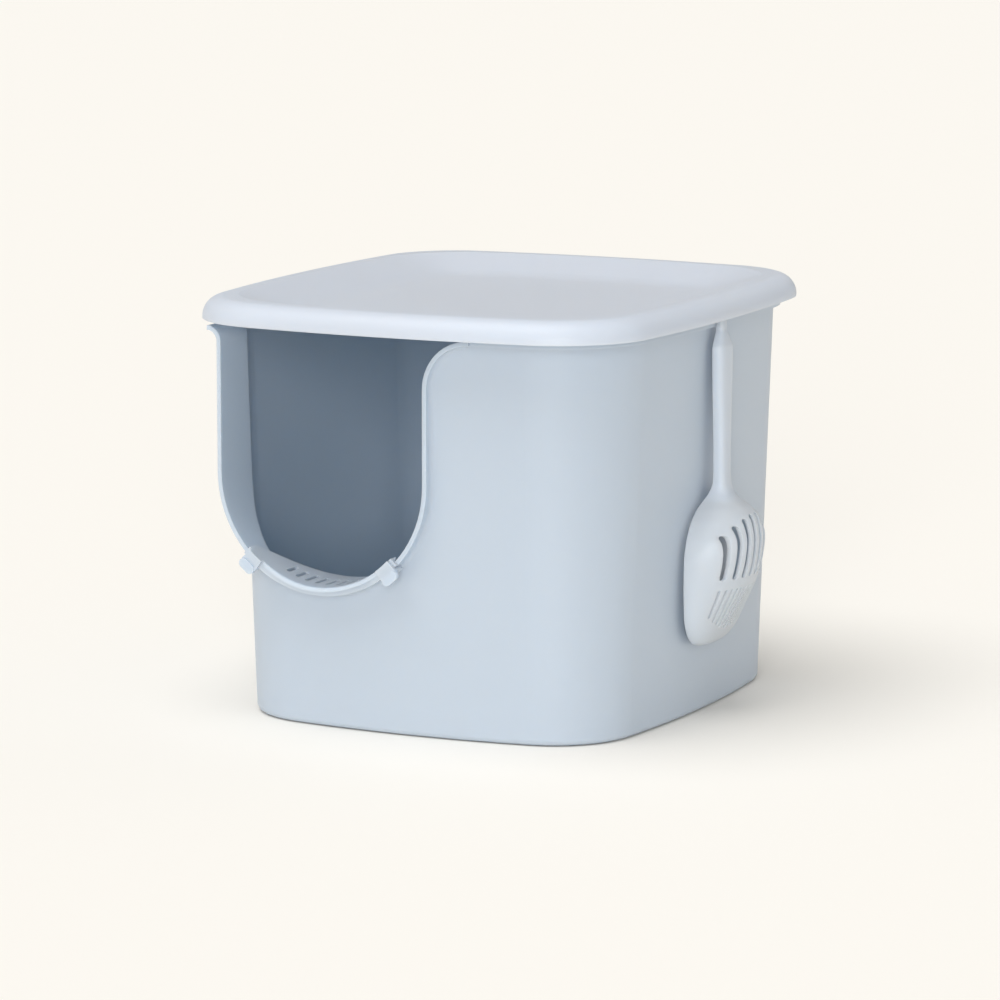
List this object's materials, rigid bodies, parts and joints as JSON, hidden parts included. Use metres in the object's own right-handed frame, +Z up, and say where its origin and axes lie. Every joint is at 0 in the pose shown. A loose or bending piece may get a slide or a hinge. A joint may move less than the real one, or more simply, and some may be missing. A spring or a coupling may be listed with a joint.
{
  "type": "semi-enclosed litter box",
  "caption": "Deep tapered litter tub with a U-shaped side entrance, a slotted clip-on entry pedal, a dished lift-off lid and a slotted scoop hung on the rim.",
  "frame": {"origin": "centre of the flat base, on the floor", "axes": "+Z up, -Y out of the entrance, +X towards the side that carries the scoop"},
  "size_m": [0.4856, 0.5126, 0.3905],
  "materials": {
    "tub_plastic": "satin pale blue-grey",
    "lid_plastic": "satin pale blue-grey",
    "pedal_plastic": "satin pale blue-grey",
    "scoop_plastic": "satin pale blue-grey"
  },
  "bodies": {
    "tub": {"tub": "tub_plastic"},
    "lid": {"lid": "lid_plastic"},
    "pedal": {"entry_pedal": "pedal_plastic", "pedal_clip_left": "pedal_plastic", "pedal_clip_right": "pedal_plastic"},
    "scoop": {"scoop": "scoop_plastic"}
  },
  "joints": [
    {"name": "lid_lift", "type": "slide", "parent": "tub", "child": "lid", "axis": [0, 0, 1], "range_m": [0, 0.06]},
    {"name": "pedal_pull", "type": "slide", "parent": "tub", "child": "pedal", "axis": [0, -1, 0], "range_m": [0, 0.09]},
    {"name": "scoop_lift", "type": "slide", "parent": "tub", "child": "scoop", "axis": [0, 0, 1], "range_m": [0, 0.01]}
  ]
}
